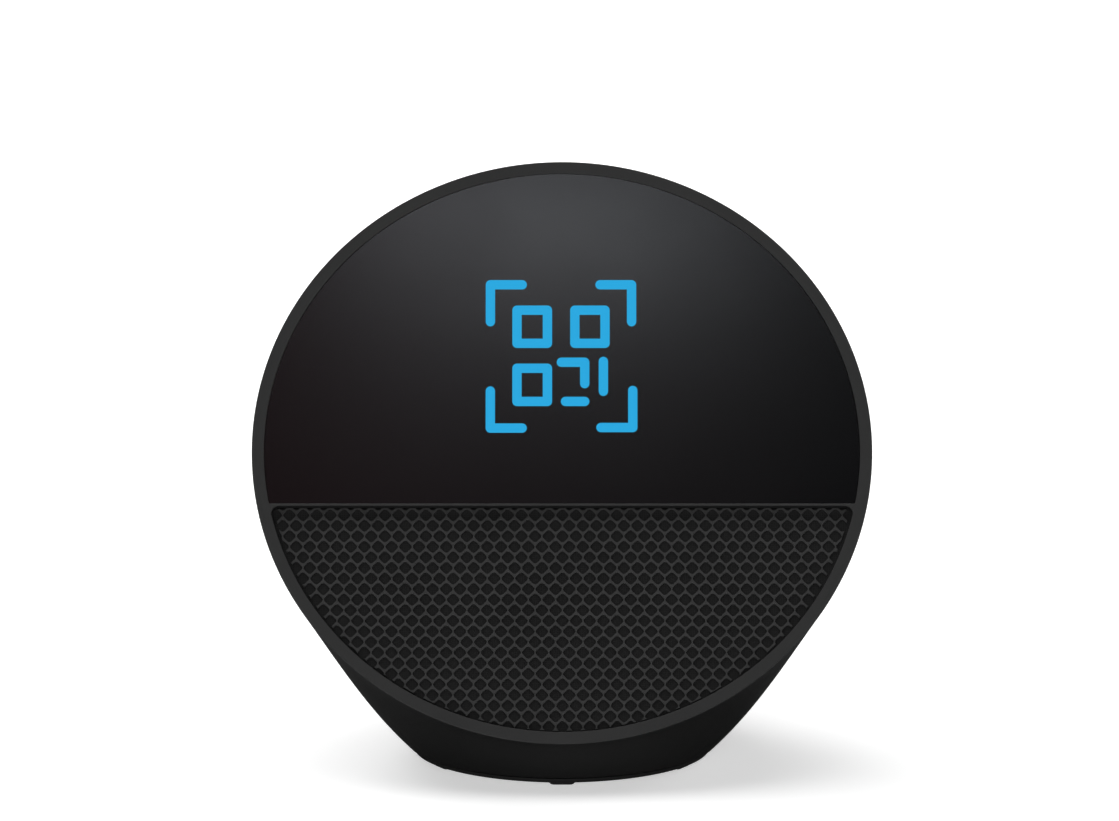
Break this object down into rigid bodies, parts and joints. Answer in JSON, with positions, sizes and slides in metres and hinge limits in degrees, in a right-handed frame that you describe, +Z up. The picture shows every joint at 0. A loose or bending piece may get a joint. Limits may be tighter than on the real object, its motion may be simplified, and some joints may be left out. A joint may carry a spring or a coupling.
{
  "type": "smart speaker",
  "caption": "Desk smart speaker: a round face leans back on a domed body, with a display above a speaker grille, press keys on top and a power inlet behind.",
  "frame": {"origin": "on the resting surface, under the middle of the whole object's box", "axes": "+X to the viewer's right, +Y towards the back, +Z up; the face looks towards -Y and leans back 33.7 degrees"},
  "size_m": [0.113, 0.093, 0.1037],
  "materials": {
    "shell": "satin moulded, fine spark texture",
    "rim": "satin moulded",
    "glass": "polished dark cover glass",
    "grille": "satin moulded lattice",
    "cloth": "fine acoustic cloth",
    "black_plastic": "matt moulded",
    "adhesive": "foam tape",
    "display": "display stack",
    "steel": "stamped sheet",
    "aluminium": "satin",
    "screws": "zinc plated",
    "ferrite": "sintered, matt",
    "copper": "enamelled copper wire",
    "paper": "pressed paper",
    "rubber": "matt",
    "spider_cloth": "treated cloth",
    "circuit_board": "solder mask",
    "flex_film": "polyimide film",
    "thermal_pad": "matt",
    "red_wire": "insulated wire",
    "black_wire": "insulated wire"
  },
  "bodies": {
    "speaker_body": {"rear_housing": "shell", "front_bezel": "rim", "cover_glass": "glass", "speaker_grille": "grille", "grille_cloth": "cloth", "front_chassis": "black_plastic", "display_adhesive": "adhesive", "display_panel": "display", "display_tray": "steel", "display_flex": "flex_film", "display_connector": "black_plastic", "driver_basket": "steel", "driver_top_plate": "steel", "driver_magnet": "ferrite", "driver_yoke": "steel", "cone_surround": "rubber", "cone_spider": "spider_cloth", "driver_gasket": "rubber", "main_board": "circuit_board", "soc_shield": "steel", "thermal_pad": "thermal_pad", "heat_spreader": "aluminium", "amplifier_chip": "black_plastic", "power_socket": "black_plastic", "wifi_antenna": "circuit_board", "antenna_lead": "black_wire", "dc_jack": "black_plastic", "dc_jack_pin": "steel", "power_wire_red": "red_wire", "power_wire_black": "black_wire", "speaker_wire_red": "red_wire", "speaker_wire_black": "black_wire", "switch_volume_up": "steel", "switch_volume_down": "steel", "switch_mic_mute": "steel", "microphone_left": "steel", "microphone_right": "steel", "button_board": "circuit_board", "button_lead": "black_wire", "base_plate": "black_plastic", "foot_ring": "rubber", "driver_screw_1": "screws", "driver_screw_2": "screws", "driver_screw_3": "screws", "driver_screw_4": "screws", "board_screw_1": "screws", "board_screw_2": "screws", "board_screw_3": "screws", "board_screw_4": "screws", "base_screw_1": "screws", "base_screw_2": "screws", "base_screw_3": "screws"},
    "volume_up_key": {"button_volume_up": "shell"},
    "volume_down_key": {"button_volume_down": "shell"},
    "mic_mute_key": {"button_mic_mute": "shell"},
    "diaphragm": {"speaker_cone": "paper", "voice_coil": "copper", "dust_cap": "paper"}
  },
  "joints": [
    {"name": "volume_up_press", "type": "slide", "parent": "speaker_body", "child": "volume_up_key", "axis": [-0.2419, -0.641, -0.7284], "range_m": [0, 0.0004], "stiffness_N_per_m": 1200},
    {"name": "volume_down_press", "type": "slide", "parent": "speaker_body", "child": "volume_down_key", "axis": [0.2419, -0.641, -0.7284], "range_m": [0, 0.0004], "stiffness_N_per_m": 1200},
    {"name": "mic_mute_press", "type": "slide", "parent": "speaker_body", "child": "mic_mute_key", "axis": [0, -0.6606, -0.7507], "range_m": [0, 0.0004], "stiffness_N_per_m": 1200},
    {"name": "cone_stroke", "type": "slide", "parent": "speaker_body", "child": "diaphragm", "axis": [0, -0.832, 0.5548], "range_m": [-0.0015, 0.0015], "stiffness_N_per_m": 1900, "deforming": ["cone_surround", "cone_spider"]}
  ]
}
